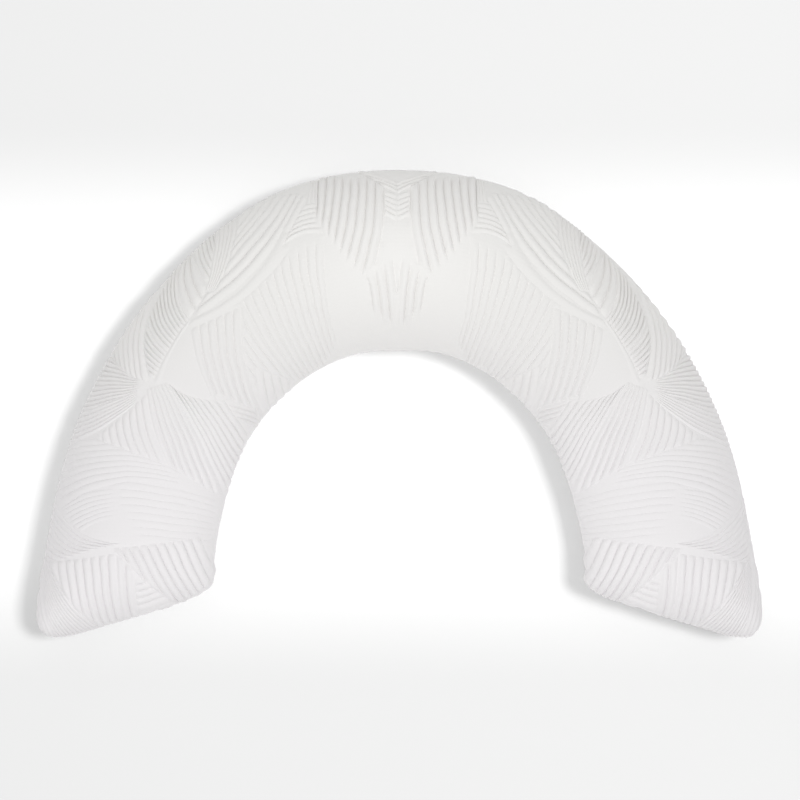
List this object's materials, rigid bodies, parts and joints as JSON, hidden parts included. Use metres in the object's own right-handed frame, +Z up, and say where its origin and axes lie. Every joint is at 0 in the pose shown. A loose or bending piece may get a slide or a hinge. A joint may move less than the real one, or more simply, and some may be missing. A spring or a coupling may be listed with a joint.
{
  "type": "arch body pillow",
  "caption": "Arch-shaped body pillow: a plump round tube with blunt slanted ends, in off-white jacquard with leaf-like ribbing.",
  "frame": {"origin": "bottom centre of the bounding box, on the surface that the pillow lies on", "axes": "+X across the arch from leg to leg, +Y from the open ends towards the top of the arch, +Z up"},
  "size_m": [1.0498, 0.6763, 0.1598],
  "materials": {
    "cover": "matt jacquard knit"
  },
  "bodies": {
    "root": {"pillow": "cover"}
  },
  "joints": []
}
